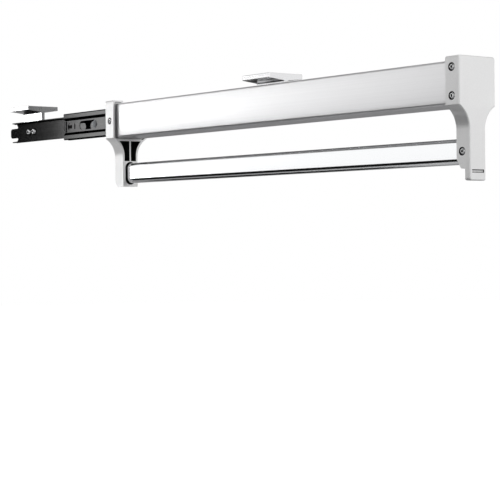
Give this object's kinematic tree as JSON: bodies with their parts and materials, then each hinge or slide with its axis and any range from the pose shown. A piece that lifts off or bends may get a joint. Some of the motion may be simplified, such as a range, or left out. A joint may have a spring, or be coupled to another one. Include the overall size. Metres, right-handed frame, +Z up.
{
  "type": "telescopic closet rod",
  "caption": "Pull-out closet rod: an oval hanging rod under a slotted housing that runs forward on a ball slide from T brackets under a shelf, with a finger lip on the front cap.",
  "frame": {"origin": "centre of the four shelf screw holes, on the plane of the brackets' top faces, which is the shelf's underside", "axes": "+X points to the front of the wardrobe, the way the rod pulls out, +Y across it and +Z up into the shelf"},
  "size_m": [0.8535, 0.0476, 0.1215],
  "materials": {
    "bracket_aluminium": "satin anodised",
    "black_steel": "black electrocoated steel, semi gloss",
    "housing_aluminium": "fine brushed and clear anodised",
    "cap_metal": "satin silver coated die casting",
    "rod_chrome": "bright chrome plate",
    "screw_steel": "bright nickel plated steel",
    "ball_steel": "polished bearing steel",
    "cage_steel": "zinc plated strip",
    "black_plastic": "moulded",
    "grey_plastic": "moulded"
  },
  "bodies": {
    "fixed_frame": {"rear_bracket": "bracket_aluminium", "front_bracket": "bracket_aluminium", "inner_member": "black_steel", "bracket_screws": "screw_steel", "inner_end_stop": "black_plastic"},
    "middle_slide": {"intermediate_member": "black_steel", "intermediate_bumper": "black_plastic", "intermediate_stop": "grey_plastic"},
    "inner_cage": {"inner_ball_cage": "cage_steel", "inner_balls": "ball_steel"},
    "outer_cage": {"outer_ball_cage": "cage_steel", "outer_balls": "ball_steel"},
    "carriage": {"outer_member": "black_steel", "outer_member_screws": "screw_steel", "closing_buffer": "black_plastic", "housing": "housing_aluminium", "rear_cap": "cap_metal", "front_cap": "cap_metal", "hanging_rod": "rod_chrome", "cap_screws": "screw_steel", "rod_screws": "screw_steel"}
  },
  "joints": [
    {"name": "intermediate_slide", "type": "slide", "parent": "fixed_frame", "child": "middle_slide", "axis": [1, 0, 0], "range_m": [-0.136, 0.15]},
    {"name": "housing_slide", "type": "slide", "parent": "middle_slide", "child": "carriage", "axis": [1, 0, 0], "range_m": [-0.115, 0.17]},
    {"name": "inner_cage_slide", "type": "slide", "parent": "fixed_frame", "child": "inner_cage", "axis": [1, 0, 0], "range_m": [-0.0682, 0.0752]},
    {"name": "outer_cage_slide", "type": "slide", "parent": "middle_slide", "child": "outer_cage", "axis": [1, 0, 0], "range_m": [-0.0577, 0.0852]}
  ],
  "couplings": [
    {"joint": "inner_cage_slide", "follows": "intermediate_slide", "ratio": 0.5},
    {"joint": "outer_cage_slide", "follows": "housing_slide", "ratio": 0.5}
  ]
}
